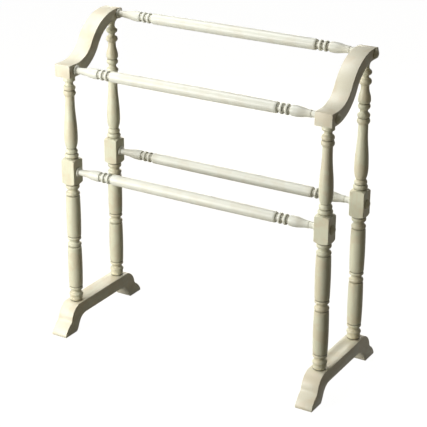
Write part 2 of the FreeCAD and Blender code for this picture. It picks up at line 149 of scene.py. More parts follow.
@dataclass(frozen=True)
class AntiquedPaint:
    """Brushed cream paint on beech, under a dark glaze wiped back to the hollows.

    The eye sees a warm off-white that is never quite even, fine brush marks along the grain,
    faint open grain under them, and brown-olive darkening in every groove and inside corner: glaze
    together with painted shade in the turned hollows, and painted shade alone in the corners
    between pieces.
    """

    grain: Grain
    paint: str = "#E8E8CD"
    worn_paint: str = "#E2D4B4"
    worn_share: float = 0.6
    # The glaze colour, also used as painted shade in the hollows and corners
    glaze_and_shade_colour: str = "#6F6850"
    brush_spacing_mm: float = 1.4
    pore_spacing_mm: float = 0.7
    mottle_mm: float = 38.0
    stretch: float = 0.035
    corner_shade_reach_mm: float = 5.0
    film_relief_mm: float = 0.04
    roughness: float = 0.42
    ior: float = 1.5
    coat: float = 0.12
    coat_roughness: float = 0.3

    def build(self) -> bpy.types.Material:
        """Builds the paint, its wear, the glaze and painted shade over it, and the relief of the
        brush marks.

        Returns:
            The finished material.
        """
        material, tree, shader = bare_material(f"antiqued_cream_paint_{self.grain.name.lower()}")
        place = add_node(tree, "ShaderNodeTexCoord").outputs["Object"]
        scale = [1.0, 1.0, 1.0]
        scale[self.grain.value] = self.stretch
        along = add_node(
            tree, "ShaderNodeMapping", inputs={"Vector": place, "Scale": scale}
        ).outputs[0]

        # Brush marks: streaks as wide as a bristle clump, and much longer than wide
        brush = add_node(
            tree,
            "ShaderNodeTexNoise",
            inputs={"Vector": along, "Scale": 1 / (self.brush_spacing_mm * MM), "Detail": 3.0},
        ).outputs[0]
        # Open grain of the beech, finer than it shows, drawn as coarse as it needs to be seen
        pores = add_node(
            tree,
            "ShaderNodeTexNoise",
            inputs={
                "Vector": along,
                "Scale": 1 / (self.pore_spacing_mm * MM),
                "Detail": 5.0,
                "Roughness": 0.65,
            },
        ).outputs[0]
        mottle = add_node(
            tree,
            "ShaderNodeTexNoise",
            inputs={"Vector": place, "Scale": 1 / (self.mottle_mm * MM), "Detail": 2.0},
        ).outputs[0]

        patchy = add_node(
            tree,
            "ShaderNodeMapRange",
            {"interpolation_type": "SMOOTHSTEP"},
            {"Value": mottle, "From Min": 0.42, "From Max": 0.62, "To Max": self.worn_share},
        ).outputs[0]
        streaked = add_node(
            tree,
            "ShaderNodeMapRange",
            inputs={"Value": brush, "From Min": 0.4, "From Max": 0.7, "To Max": 0.45},
        ).outputs[0]
        wear = add_node(
            tree, "ShaderNodeMath", {"operation": "MAXIMUM"}, {0: patchy, 1: streaked}
        ).outputs[0]
        painted = add_node(
            tree,
            "ShaderNodeMix",
            {"data_type": "RGBA"},
            {"Factor": wear, 6: linear(self.paint), 7: linear(self.worn_paint)},
        ).outputs[2]

        # Darkening: glaze and painted shade in the turned hollows, and a thinner line of painted
        # shade in corners between pieces
        turned = add_node(
            tree, "ShaderNodeAttribute", {"attribute_name": "hollow"}
        ).outputs["Fac"]
        # Painted shade: the more closed in a point is, the darker it is painted
        open_share = add_node(
            tree,
            "ShaderNodeAmbientOcclusion",
            {"samples": 8},
            {"Distance": self.corner_shade_reach_mm * MM},
        ).outputs["AO"]
        corner = add_node(
            tree,
            "ShaderNodeMapRange",
            {"interpolation_type": "SMOOTHSTEP"},
            {"Value": open_share, "From Min": 0.3, "From Max": 0.8, "To Min": 0.7, "To Max": 0.0},
        ).outputs[0]
        glaze_and_shade_mask = add_node(
            tree, "ShaderNodeMath", {"operation": "MAXIMUM"}, {0: turned, 1: corner}
        ).outputs[0]
        thinning = add_node(
            tree,
            "ShaderNodeMapRange",
            inputs={
                "Value": pores,
                "From Min": 0.3,
                "From Max": 0.7,
                "To Min": 0.75,
                "To Max": 1.1,
            },
        ).outputs[0]
        glaze_and_shade_share = add_node(
            tree,
            "ShaderNodeMath",
            {"operation": "MULTIPLY", "use_clamp": True},
            {0: glaze_and_shade_mask, 1: thinning},
        ).outputs[0]
        # Mixes in the dark colour: glaze and painted shade in the hollows, painted shade in the
        # corners
        colour = add_node(
            tree,
            "ShaderNodeMix",
            {"data_type": "RGBA"},
            {"Factor": glaze_and_shade_share, 6: painted, 7: linear(self.glaze_and_shade_colour)},
        ).outputs[2]

        relief = add_node(
            tree, "ShaderNodeMath", {"operation": "MULTIPLY"}, {0: pores, 1: brush}
        ).outputs[0]
        bump = add_node(
            tree,
            "ShaderNodeBump",
            inputs={"Height": relief, "Strength": 0.5, "Distance": self.film_relief_mm * MM},
        ).outputs[0]
        sheen_patches = add_node(
            tree,
            "ShaderNodeMapRange",
            inputs={
                "Value": brush,
                "From Min": 0.3,
                "From Max": 0.7,
                "To Min": self.roughness - 0.06,
                "To Max": self.roughness + 0.1,
            },
        ).outputs[0]
        tree.links.new(colour, shader.inputs["Base Color"])
        tree.links.new(sheen_patches, shader.inputs["Roughness"])
        tree.links.new(bump, shader.inputs["Normal"])
        shader.inputs["IOR"].default_value = self.ior
        shader.inputs["Coat Weight"].default_value = self.coat
        shader.inputs["Coat Roughness"].default_value = self.coat_roughness
        return material


@dataclass(frozen=True)
class MachinedMetal:
    """Turned or rolled metal: fine tool marks and a little dulling, with a crisp highlight."""

    name: str
    colour: str
    dulled: str
    roughness: float
    tool_mark_mm: float = 0.35
    dulling_mm: float = 3.8462
    relief_mm: float = 0.02

    def build(self) -> bpy.types.Material:
        """Builds the metal, its tool marks and its dulling.

        Returns:
            The finished material.
        """
        material, tree, shader = bare_material(self.name)
        place = add_node(tree, "ShaderNodeTexCoord").outputs["Object"]
        marks = add_node(
            tree,
            "ShaderNodeTexWave",
            {"wave_type": "BANDS", "bands_direction": "X"},
            {"Vector": place, "Scale": 1 / (self.tool_mark_mm * MM * math.tau), "Distortion": 0.6},
        ).outputs[1]
        dulling = add_node(
            tree,
            "ShaderNodeTexNoise",
            inputs={"Vector": place, "Scale": 1 / (self.dulling_mm * MM), "Detail": 4.0},
        ).outputs[0]
        colour = add_node(
            tree,
            "ShaderNodeMix",
            {"data_type": "RGBA"},
            {"Factor": dulling, 6: linear(self.colour), 7: linear(self.dulled)},
        ).outputs[2]
        rough = add_node(
            tree,
            "ShaderNodeMapRange",
            inputs={
                "Value": dulling,
                "To Min": self.roughness - 0.08,
                "To Max": self.roughness + 0.12,
            },
        ).outputs[0]
        bump = add_node(
            tree,
            "ShaderNodeBump",
            inputs={"Height": marks, "Strength": 0.4, "Distance": self.relief_mm * MM},
        ).outputs[0]
        tree.links.new(colour, shader.inputs["Base Color"])
        tree.links.new(rough, shader.inputs["Roughness"])
        tree.links.new(bump, shader.inputs["Normal"])
        shader.inputs["Metallic"].default_value = 1.0
        return material


# ---- Turning on a lathe ----


@dataclass
class LatheOutline:
    """The half outline of a turned piece, drawn from one end to the other in millimetres.

    It starts on the axis. Every method draws on from the last point.
    """

    height: float = 0.0
    points: list[tuple[float, float]] = field(default_factory=list)

    def __post_init__(self) -> None:
        """Starts the outline on the axis."""
        self.points.append((0.0, self.height))

    @property
    def here(self) -> tuple[float, float]:
        """The last point, as radius and height."""
        return self.points[-1]

    def step(self, radius: float) -> None:
        """A flat shoulder out or in to a radius."""
        self.points.append((radius, self.here[1]))

    def rise(self, height: float, radius: float | None = None) -> None:
        """A straight or tapered stretch."""
        self.points.append((self.here[0] if radius is None else radius, self.here[1] + height))

    def swell(
        self, height: float, end_radius: float, middle_radius: float, parts: int = 14
    ) -> None:
        """A bead, cove or barrel: a circular arc through a radius halfway up.

        Args:
            height: The height that it takes.
            end_radius: The radius where it ends.
            middle_radius: The radius halfway up.
            parts: How many straight parts stand for the arc.
        """
        start = Vector(self.here)
        chord = Vector((end_radius, start.y + height)) - start
        out = Vector((chord.y, -chord.x)).normalized()
        bulge = (middle_radius - (start.x + end_radius) / 2) / out.x
        half_angle = 2 * math.atan2(2 * bulge, chord.length)
        for index in range(1, parts + 1):
            angle = half_angle * (2 * index / parts - 1)
            along = 0.5 + math.sin(angle) / (2 * math.sin(half_angle))
            off = (math.cos(angle) - math.cos(half_angle)) / (2 * math.sin(half_angle))
            self.points.append(tuple(start + chord * along + out * off * chord.length))

    def curve(self, *places: tuple[float, float], parts: int = 24) -> None:
        """A Bezier curve to the last place, pulled towards the places before it.

        Args:
            places: The curve's poles, as radius and height. The last is where it ends.
            parts: How many straight parts stand for the curve.
        """
        poles = [Vector(self.here), *[Vector(place) for place in places]]
        for index in range(1, parts + 1):
            share, level = index / parts, poles
            while len(level) > 1:
                level = [a.lerp(b, share) for a, b in zip(level, level[1:])]
            self.points.append(tuple(level[0]))

    def taper(self, height: float, radius: float, lead: float = 0.45) -> None:
        """A long S-curve that leaves one radius and arrives at another straight up."""
        start, top = self.here, self.here[1] + height
        leaving, arriving = (start[0], start[1] + height * lead), (radius, top - height * lead)
        self.curve(leaving, arriving, (radius, top))

    def belly(self, height: float, radius: float, lead: float = 0.6) -> None:
        """A curve that leaves on a slant and arrives straight up."""
        top = self.here[1] + height
        self.curve((radius, top - height * lead), (radius, top), parts=12)

    def flare(self, height: float, radius: float, lead: float = 0.6) -> None:
        """A curve that leaves straight up and arrives on a slant."""
        start = self.here
        self.curve((start[0], start[1] + height * lead), (radius, start[1] + height), parts=12)

    def finished(
        self, edge: float, spacing: float, sharp_degrees: float = 30.0, same: float = 1e-4
    ) -> list[tuple[float, float]]:
        """The outline closed on the axis, with its corners eased and its long runs divided.

        Args:
            edge: How far each sharp corner is rounded back by the paint.
            spacing: The longest run left undivided.
            sharp_degrees: How far the outline turns at a corner that is eased.
            same: Two points nearer than this are one.

        Returns:
            The points, as radius and height.
        """
        raw = [Vector(p) for p in [*self.points, (0.0, self.here[1])]]
        raw = [p for index, p in enumerate(raw) if not index or (p - raw[index - 1]).length > same]
        eased = [raw[0]]
        for before, corner, after in zip(raw, raw[1:], raw[2:]):
            back, on = before - corner, after - corner
            turn = math.pi - back.angle(on)
            if turn > math.radians(sharp_degrees):
                cut = min(edge, back.length / 3, on.length / 3)
                first, last = corner + back.normalized() * cut, corner + on.normalized() * cut
                eased += [first, (first + 2 * corner + last) / 4, last]
            else:
                eased.append(corner)
        eased.append(raw[-1])
        divided = [eased[0]]
        for start, end in zip(eased, eased[1:]):
            parts = max(1, math.ceil((end - start).length / spacing))
            divided += [start.lerp(end, index / parts) for index in range(1, parts + 1)]
        return [tuple(p) for p in divided]


@dataclass(frozen=True)
class Lathe:
    """Turns outlines into closed meshes with Geometry Nodes, and marks their hollows for glaze and
    painted shade.

    The block width squares whatever part of the blank stands outside it.
    """

    segments: int = 112
    edge_mm: float = 0.55
    spacing_mm: float = 4.0
    hollow_reach_mm: float = 4.0
    wide_reach_mm: float = 6.0
    hollow_start_mm: float = 0.2
    hollow_full_mm: float = 1.7
    # Wide, deep hollows such as coves get a smaller share of the glaze and painted shade
    wide_hollow_from_mm: float = 2.3
    wide_hollow_run_mm: float = 1.5
    wide_hollow_share: float = 0.5
    # How dark the hollows are at the start and the end of a piece; a difference between the two is
    # painted shade
    glaze_and_shade_at_start: float = 0.85
    glaze_and_shade_at_end: float = 0.85
    corner_power: float = 36.0
    corner_crowding: float = 0.6
    weld_mm: float = 0.002

    def hollows(self, points: list[tuple[float, float]], cap: float) -> list[float]:
        """How dark each point of an outline is painted, with glaze and painted shade: a hollow has
        a wall on both sides of it.

        Args:
            points: The outline, as radius and height.
            cap: A radius past which the blank is squared away.

        Returns:
            Shares from zero on proud surfaces to one in deep hollows.
        """
        shares = []
        low, high = points[0][1], points[-1][1]
        for index, (radius, height) in enumerate(points):
            depths = []
            for reach in (self.hollow_reach_mm, self.wide_reach_mm):
                walls = [
                    max(min(r, cap) for r, h in part if abs(h - height) < reach)
                    for part in (points[: index + 1], points[index:])
                ]
                depths.append(min(walls) - min(radius, cap))
            run = self.hollow_full_mm - self.hollow_start_mm
            share = min(max((depths[0] - self.hollow_start_mm) / run, 0.0), 1.0)
            thinning = min(max((depths[1] - self.wide_hollow_from_mm) / self.wide_hollow_run_mm, 0.0), 1.0)
            share *= 1 - thinning * (1 - self.wide_hollow_share)
            # The share changes from one end of the piece to the other: painted shade where light
            # rakes along it
            change = self.glaze_and_shade_at_end - self.glaze_and_shade_at_start
            kept = self.glaze_and_shade_at_start + change * (height - low) / (high - low)
            shares.append(kept * share * share * (3 - 2 * share))
        return shares

    def add_sums(
        self,
        tree: bpy.types.NodeTree,
        known: dict[str, Any],
        sums: tuple[tuple[str, str, str | float, str | float], ...],
    ) -> None:
        """Adds a chain of sums to a tree.

        Args:
            tree: The node tree.
            known: Sockets by name. Each result is added to it.
            sums: The name of each result, its operation, and its two terms by name or value.
        """
        for name, operation, first, second in sums:
            terms = [known[term] if isinstance(term, str) else term for term in (first, second)]
            node = add_node(
                tree, "ShaderNodeMath", {"operation": operation}, {0: terms[0], 1: terms[1]}
            )
            known[name] = node.outputs[0]

    def tree(self) -> bpy.types.NodeTree:
        """The Geometry Nodes tree: it wraps rows of an outline round an axis.

        Returns:
            A tree with inputs for the outline, segments, half width, crowding and material.
        """
        tree = bpy.data.node_groups.get("lathe")
        if tree:
            return tree
        tree = bpy.data.node_groups.new("lathe", "GeometryNodeTree")
        sockets = tree.interface
        sockets.new_socket("Geometry", in_out="INPUT", socket_type="NodeSocketGeometry")
        sockets.new_socket("Segments", in_out="INPUT", socket_type="NodeSocketInt")
        for name in ("Half Width", "Corner Power", "Corner Crowding"):
            sockets.new_socket(name, in_out="INPUT", socket_type="NodeSocketFloat")
        sockets.new_socket("Material", in_out="INPUT", socket_type="NodeSocketMaterial")
        sockets.new_socket("Geometry", in_out="OUTPUT", socket_type="NodeSocketGeometry")
        given = add_node(tree, "NodeGroupInput").outputs

        rows = add_node(
            tree, "GeometryNodeAttributeDomainSize", inputs={"Geometry": given["Geometry"]}
        ).outputs["Point Count"]
        here = add_node(tree, "GeometryNodeInputPosition").outputs[0]
        across = add_node(tree, "ShaderNodeSeparateXYZ", inputs={0: here}).outputs
        known: dict[str, Any] = {"rows": rows, "u": across["X"], "v": across["Y"]}
        known |= {name: given[name] for name in ("Segments", "Half Width", "Corner Power")}
        known["Corner Crowding"] = given["Corner Crowding"]
        self.add_sums(
            tree,
            known,
            (
                ("columns", "ADD", "Segments", 1.0),
                ("turn", "ADD", "u", 0.5),
                ("last row", "SUBTRACT", "rows", 1.0),
                ("share up", "ADD", "v", 0.5),
                ("place up", "MULTIPLY", "share up", "last row"),
                ("row", "ROUND", "place up", 0.0),
            ),
        )
        grid = add_node(
            tree,
            "GeometryNodeMeshGrid",
            inputs={
                "Size X": 1.0,
                "Size Y": 1.0,
                "Vertices X": known["columns"],
                "Vertices Y": rows,
            },
        ).outputs["Mesh"]
        sampled = {}
        stored = add_node(
            tree, "GeometryNodeInputNamedAttribute", {"data_type": "FLOAT"}, {"Name": "hollow"}
        ).outputs[0]
        for name, kind, value in (("place", "FLOAT_VECTOR", here), ("hollow", "FLOAT", stored)):
            sampled[name] = add_node(
                tree,
                "GeometryNodeSampleIndex",
                {"data_type": kind, "domain": "POINT"},
                {"Geometry": given["Geometry"], "Value": value, "Index": known["row"]},
            ).outputs[0]
        outline = add_node(tree, "ShaderNodeSeparateXYZ", inputs={0: sampled["place"]}).outputs
        known["outline radius"] = outline["X"]

        # Columns crowd towards the four corners of the block, where the surface bends most.
        # The block is a superellipse, so its long edges are slightly eased.
        self.add_sums(
            tree,
            known,
            (
                ("wave place", "MULTIPLY", "turn", 4 * math.tau),
                ("wave", "SINE", "wave place", 0.0),
                ("crowding", "MULTIPLY", "Corner Crowding", 0.25),
                ("crowded", "MULTIPLY", "wave", "crowding"),
                ("even angle", "MULTIPLY", "turn", math.tau),
                ("angle", "ADD", "even angle", "crowded"),
                ("cosine", "COSINE", "angle", 0.0),
                ("sine", "SINE", "angle", 0.0),
                ("size of cosine", "ABSOLUTE", "cosine", 0.0),
                ("size of sine", "ABSOLUTE", "sine", 0.0),
                ("cosine term", "POWER", "size of cosine", "Corner Power"),
                ("sine term", "POWER", "size of sine", "Corner Power"),
                ("both terms", "ADD", "cosine term", "sine term"),
                ("root", "DIVIDE", 1.0, "Corner Power"),
                ("squareness", "POWER", "both terms", "root"),
                ("square radius", "DIVIDE", "Half Width", "squareness"),
                ("radius", "MINIMUM", "outline radius", "square radius"),
                ("x", "MULTIPLY", "radius", "cosine"),
                ("y", "MULTIPLY", "radius", "sine"),
            ),
        )
        place = add_node(
            tree,
            "ShaderNodeCombineXYZ",
            inputs={"X": known["x"], "Y": known["y"], "Z": outline["Z"]},
        ).outputs[0]
        marked = add_node(
            tree,
            "GeometryNodeStoreNamedAttribute",
            {"data_type": "FLOAT", "domain": "POINT"},
            {"Geometry": grid, "Name": "hollow", "Value": sampled["hollow"]},
        ).outputs[0]
        wrapped = add_node(
            tree, "GeometryNodeSetPosition", inputs={"Geometry": marked, "Position": place}
        ).outputs[0]
        closed = add_node(
            tree,
            "GeometryNodeMergeByDistance",
            inputs={"Geometry": wrapped, "Distance": self.weld_mm * MM},
        ).outputs[0]
        real = add_node(
            tree, "GeometryNodeRealizeInstances", inputs={"Geometry": closed}
        ).outputs[0]
        dressed = add_node(
            tree,
            "GeometryNodeSetMaterial",
            inputs={"Geometry": real, "Material": given["Material"]},
        ).outputs[0]
        add_node(tree, "NodeGroupOutput", inputs={0: dressed})
        return tree

    def turn(
        self,
        name: str,
        outline: LatheOutline,
        place: Matrix,
        material: bpy.types.Material,
        half_width: float = 1000.0,
    ) -> bpy.types.Object:
        """Turns one piece and puts it in its place.

        Args:
            name: The finished piece's name.
            outline: Its half outline.
            place: Where the outline's axis and heights go, in metres.
            material: Its finish.
            half_width: Half the width of its square block, in millimetres.

        Returns:
            The piece, as a plain closed mesh at the origin.
        """
        points = outline.finished(self.edge_mm, self.spacing_mm)
        line = bpy.data.meshes.new(f"{name}_outline")
        line.from_pydata(
            [(radius * MM, 0.0, height * MM) for radius, height in points],
            [(index, index + 1) for index in range(len(points) - 1)],
            [],
        )
        line.attributes.new("hollow", "FLOAT", "POINT").data.foreach_set(
            "value", self.hollows(points, half_width)
        )
        blank = bpy.data.objects.new(f"{name}_blank", line)
        bpy.context.collection.objects.link(blank)
        modifier = blank.modifiers.new("lathe", "NODES")
        modifier.node_group = self.tree()
        values = {
            "Segments": self.segments,
            "Half Width": half_width * MM,
            "Corner Power": self.corner_power,
            "Corner Crowding": self.corner_crowding,
            "Material": material,
        }
        for socket in modifier.node_group.interface.items_tree:
            if socket.in_out == "INPUT" and socket.name in values:
                modifier[socket.identifier] = values[socket.name]
        piece = plain_piece(name, blank)
        piece.data.transform(place)
        tidy_normals(piece.data)
        return piece


def plain_piece(name: str, source: bpy.types.Object) -> bpy.types.Object:
    """Bakes an object's modifiers into a new plain object, and removes the source.

    Args:
        name: The new object's name.
        source: The object with its modifiers.

    Returns:
        The new object, at the origin.
    """
    bpy.context.view_layer.update()
    evaluated = source.evaluated_get(bpy.context.evaluated_depsgraph_get())
    mesh = bpy.data.meshes.new_from_object(evaluated)
    mesh.name = name
    bpy.data.objects.remove(source)
    piece = bpy.data.objects.new(name, mesh)
    bpy.context.collection.objects.link(piece)
    return piece


def tidy_normals(mesh: bpy.types.Mesh, sharp_degrees: float = 50.0) -> None:
    """Points all faces outwards and shades them smooth, except across sharp edges.

    Args:
        mesh: A closed mesh.
        sharp_degrees: The angle past which an edge stays sharp.
    """
    work = bmesh.new()
    work.from_mesh(mesh)
    bmesh.ops.recalc_face_normals(work, faces=work.faces)
    work.to_mesh(mesh)
    work.free()
    mesh.shade_smooth()
    mesh.set_sharp_from_angle(angle=math.radians(sharp_degrees))


def dress(piece: bpy.types.Object, slot: str, *nodes: str) -> None:
    """Joins a finished piece to the frame.

    Args:
        piece: The finished piece.
        slot: The name of a material slot; it is not used.
        nodes: The nodes of the frame that it stands for.
    """
    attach(piece, BODY)
    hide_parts(*nodes)
    LOG.info("%s: %d faces", piece.name, len(piece.data.polygons))


# ---- The rack's sub-assemblies ----


@dataclass
class Posts:
    """The four turned posts, each with a square block that carries a lower rail."""

    lathe: Lathe
    finish: bpy.types.Material
    foot_tenon_radius: float = 9.0
    foot_tenon_length: float = 28.0
    arm_tenon_radius: float = 8.0
    bun_foot_radius: float = 12.9
    bun_height: float = 11.5
    bun_radius: float = 16.8
    groove_height: float = 3.2
    groove_radius: float = 16.6
    collar_bead_height: float = 9.0
    collar_bead_radius: float = 18.6
    collar_cove_height: float = 9.8
    collar_cove_radius: float = 13.0
    collar_ring_height: float = 7.8
    collar_ring_radius: float = 18.5
    block_ring_height: float = 10.3
    cylinder_height: float = 113.0
    cylinder_edge_radius: float = 18.3
    cylinder_radius: float = 19.3
    cylinder_parts: int = 28
    block_width: float = 39.5
    block_height: float = 58.0
    block_corner_clearance: float = 1.0
    shoulder_height: float = 6.0
    shoulder_bulge: float = 1.2
    shoulder_parts: int = 30
    neck_at_shoulder: float = 18.4
    lower_bead_height: float = 11.3
    lower_bead_radius: float = 18.4
    lower_valley_radius: float = 14.4
    upper_bead_height: float = 13.0
    upper_bead_radius: float = 16.4
    vase_foot_radius: float = 12.4
    vase_belly_height: float = 30.0
    vase_belly_radius: float = 17.6
    vase_taper_height: float = 104.0
    vase_neck_radius: float = 12.3
    vase_neck_height: float = 9.0
    head_bead_height: float = 16.0
    head_bead_radius: float = 16.3
    head_valley_radius: float = 13.0
    small_bead_height: float = 12.2
    small_bead_radius: float = 15.8
    head_neck_height: float = 11.0
    head_neck_radius: float = 9.8
    head_lip_height: float = 5.2
    head_lip_radius: float = 15.5
    head_ring_height: float = 10.3
    head_ring_radius: float = 15.4
    head_recess: float = 1.53
    mid_ring_height: float = 13.0
    short_vase_foot_radius: float = 12.2
    short_belly_height: float = 8.5
    short_belly_radius: float = 15.8
    short_taper_height: float = 33.0
    short_neck_radius: float = 10.3
    short_neck_height: float = 5.0
    crown_bead_height: float = 16.0
    crown_bead_radius: float = 15.6
    crown_cove_height: float = 10.0
    crown_cove_radius: float = 8.4
    top_bead_height: float = 11.5
    top_bead_radius: float = 15.3
    top_neck_height: float = 7.0
    top_neck_radius: float = 8.3
    top_flare_height: float = 16.0
    top_lip_height: float = 6.0
    top_lip_radius: float = 13.5

    def add_collar(self, line: LatheOutline, ring_height: float, end_radius: float) -> None:
        """Adds a groove, bead, cove, ring and groove, ending at a radius.

        Args:
            line: The post's outline so far.
            ring_height: The height of the ring.
            end_radius: The radius where what follows starts.
        """
        line.step(self.groove_radius)
        line.rise(self.groove_height)
        line.swell(self.collar_bead_height, self.groove_radius, self.collar_bead_radius)
        line.swell(self.collar_cove_height, self.groove_radius, self.collar_cove_radius)
        line.swell(ring_height, self.groove_radius, self.collar_ring_radius)
        line.rise(self.groove_height)
        line.step(end_radius)

    def add_lower_turning(self, line: LatheOutline) -> None:
        """Adds the foot bun, the two plain cylinders and their collars.

        Args:
            line: The post's outline so far.
        """
        line.step(self.bun_foot_radius)
        line.swell(self.bun_height, self.groove_radius, self.bun_radius)
        for _ in range(2):
            self.add_collar(line, self.collar_ring_height, self.cylinder_edge_radius)
            line.swell(
                self.cylinder_height,
                self.cylinder_edge_radius,
                self.cylinder_radius,
                parts=self.cylinder_parts,
            )
        self.add_collar(line, self.block_ring_height, self.neck_at_shoulder)

    def add_block(self, line: LatheOutline) -> None:
        """Adds the blank round the square block, with rounded shoulders.

        Args:
            line: The post's outline so far.
        """
        corner = self.block_width / math.sqrt(2) + self.block_corner_clearance
        slope = math.hypot(self.shoulder_height, corner - self.neck_at_shoulder)
        bulge = self.shoulder_bulge * (self.shoulder_height / slope)
        middle = (corner + self.neck_at_shoulder) / 2 + bulge
        line.swell(self.shoulder_height, corner, middle, parts=self.shoulder_parts)
        line.rise(self.block_height)
        line.swell(self.shoulder_height, self.neck_at_shoulder, middle, parts=self.shoulder_parts)

    def add_vase(self, line: LatheOutline) -> None:
        """Adds two beads, the long vase, and the beads and cove below the head.

        Args:
            line: The post's outline so far.
        """
        line.step(self.groove_radius)
        line.rise(self.groove_height)
        line.swell(self.lower_bead_height, self.lower_valley_radius, self.lower_bead_radius)
        line.swell(self.upper_bead_height, self.vase_foot_radius, self.upper_bead_radius)
        line.belly(self.vase_belly_height, self.vase_belly_radius)
        line.taper(self.vase_taper_height, self.vase_neck_radius)
        line.rise(self.vase_neck_height)
        line.swell(self.head_bead_height, self.head_valley_radius, self.head_bead_radius)
        line.swell(self.small_bead_height, self.head_valley_radius, self.small_bead_radius)
        line.swell(self.head_neck_height, self.head_valley_radius, self.head_neck_radius)

    def add_rear_top(self, line: LatheOutline) -> None:
        """Adds the rear post's ring, short vase, beads, and the flare that carries the arm.

        Args:
            line: The post's outline so far.
        """
        line.swell(self.mid_ring_height, self.short_vase_foot_radius, self.head_ring_radius)
        line.belly(self.short_belly_height, self.short_belly_radius)
        line.taper(self.short_taper_height, self.short_neck_radius)
        line.rise(self.short_neck_height)
        line.swell(self.crown_bead_height, self.short_vase_foot_radius, self.crown_bead_radius)
        line.swell(self.crown_cove_height, self.short_vase_foot_radius, self.crown_cove_radius)
        line.swell(self.top_bead_height, self.short_vase_foot_radius, self.top_bead_radius)
        line.belly(self.top_neck_height, self.top_neck_radius)
        line.flare(self.top_flare_height, self.top_lip_radius)
        line.rise(self.top_lip_height)

    def outline(self, node: str) -> LatheOutline:
        """Draws the outline of one post, from the bottom of its foot tenon.

        Args:
            node: The post's name in the frame.

        Returns:
            The outline, up to the top of its arm tenon.
        """
        low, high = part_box(node)
        line = LatheOutline(low.z / MM)
        line.step(self.foot_tenon_radius)
        line.rise(self.foot_tenon_length)
        self.add_lower_turning(line)
        self.add_block(line)
        self.add_vase(line)
        if "front" in node:
            line.swell(self.head_lip_height, self.head_ring_radius, self.head_lip_radius)
            line.rise(self.head_ring_height + self.head_recess)
        else:
            self.add_rear_top(line)
        line.step(self.arm_tenon_radius)
        line.rise(high.z / MM - line.here[1])
        return line

    def build(self) -> None:
        """Turns and dresses all four posts."""
        for side in SIDES:
            for row in ("front", "rear"):
                node = f"{side}_{row}_post"
                low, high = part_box(node)
                place = Matrix.Translation(((low.x + high.x) / 2, (low.y + high.y) / 2, 0))
                piece = self.lathe.turn(
                    f"turned_{node}", self.outline(node), place, self.finish, self.block_width / 2
                )
                dress(piece, "painted_wood", node)


@dataclass
class Rails:
    """The four turned rails that the quilts hang on."""

    lathe: Lathe
    finish: bpy.types.Material
    spigot_radius: float = 7.0
    spigot_length: float = 8.0
    flange_radius: float = 13.0
    flange_thickness: float = 5.5
    flange_edge_radius: float = 1.6
    flange_inner_fillet: float = 1.4
    flange_parts: int = 8
    neck_radius: float = 8.2
    neck_length: float = 14.0
    quirk: float = 0.9
    teardrop_radius: float = 13.6
    teardrop_taper: float = 42.0
    teardrop_tail: float = 9.6
    tail_radius: float = 12.6
    groove_width: float = 8.0
    groove_radius: float = 9.8
    groove_count: int = 3
    bead_width: float = 6.6
    bead_radius: float = 13.8
    bead_parts: int = 8
    shoulder_radius: float = 12.8
    edge_length: float = 3.0
    end_radius: float = 14.0
    middle_radius: float = 14.8
    barrel_parts: int = 5

    def half(self, half_length: float) -> list[tuple[float, float]]:
        """Draws one half of the outline, from a spigot's end to the middle of the rail.

        Args:
            half_length: Half the rail's length, with its spigot.

        Returns:
            The points, as radius and height.
        """
        line = LatheOutline()
        line.step(self.spigot_radius)
        line.rise(self.spigot_length)
        rim = self.flange_radius - self.flange_edge_radius
        line.step(rim)
        line.swell(self.flange_thickness, rim, self.flange_radius, parts=self.flange_parts)
        line.rise(self.flange_inner_fillet, self.neck_radius)
        line.rise(self.neck_length)
        line.step(self.neck_radius + self.quirk)
        line.taper(self.teardrop_taper, self.teardrop_radius)
        line.flare(self.teardrop_tail, self.tail_radius)
        for index in range(self.groove_count):
            if index:
                line.step(self.shoulder_radius)
                line.swell(
                    self.bead_width, self.shoulder_radius, self.bead_radius, parts=self.bead_parts
                )
            line.step(self.groove_radius)
            line.rise(self.groove_width)
        line.step(self.shoulder_radius)
        line.rise(self.edge_length, self.end_radius)
        run = half_length - line.here[1]
        barrel = self.middle_radius - self.end_radius
        for index in range(1, self.barrel_parts + 1):
            share = index / self.barrel_parts
            line.rise(run / self.barrel_parts, self.middle_radius - barrel * (1 - share) ** 2)
        return line.points

    def build(self) -> None:
        """Turns and dresses all four rails."""
        for level in ("upper", "lower"):
            for row in ("front", "rear"):
                node = f"{level}_{row}_rail"
                low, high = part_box(node)
                half = self.half(high.x / MM)
                middle = half[-1][1]
                line = LatheOutline()
                line.points = half + [(r, 2 * middle - h) for r, h in reversed(half[1:-1])]
                axis = Matrix.Translation((low.x, (low.y + high.y) / 2, (low.z + high.z) / 2))
                place = axis @ Matrix.Rotation(math.pi / 2, 4, "Y")
                piece = self.lathe.turn(f"turned_{node}", line, place, self.finish)
                dress(piece, "painted_wood", node)


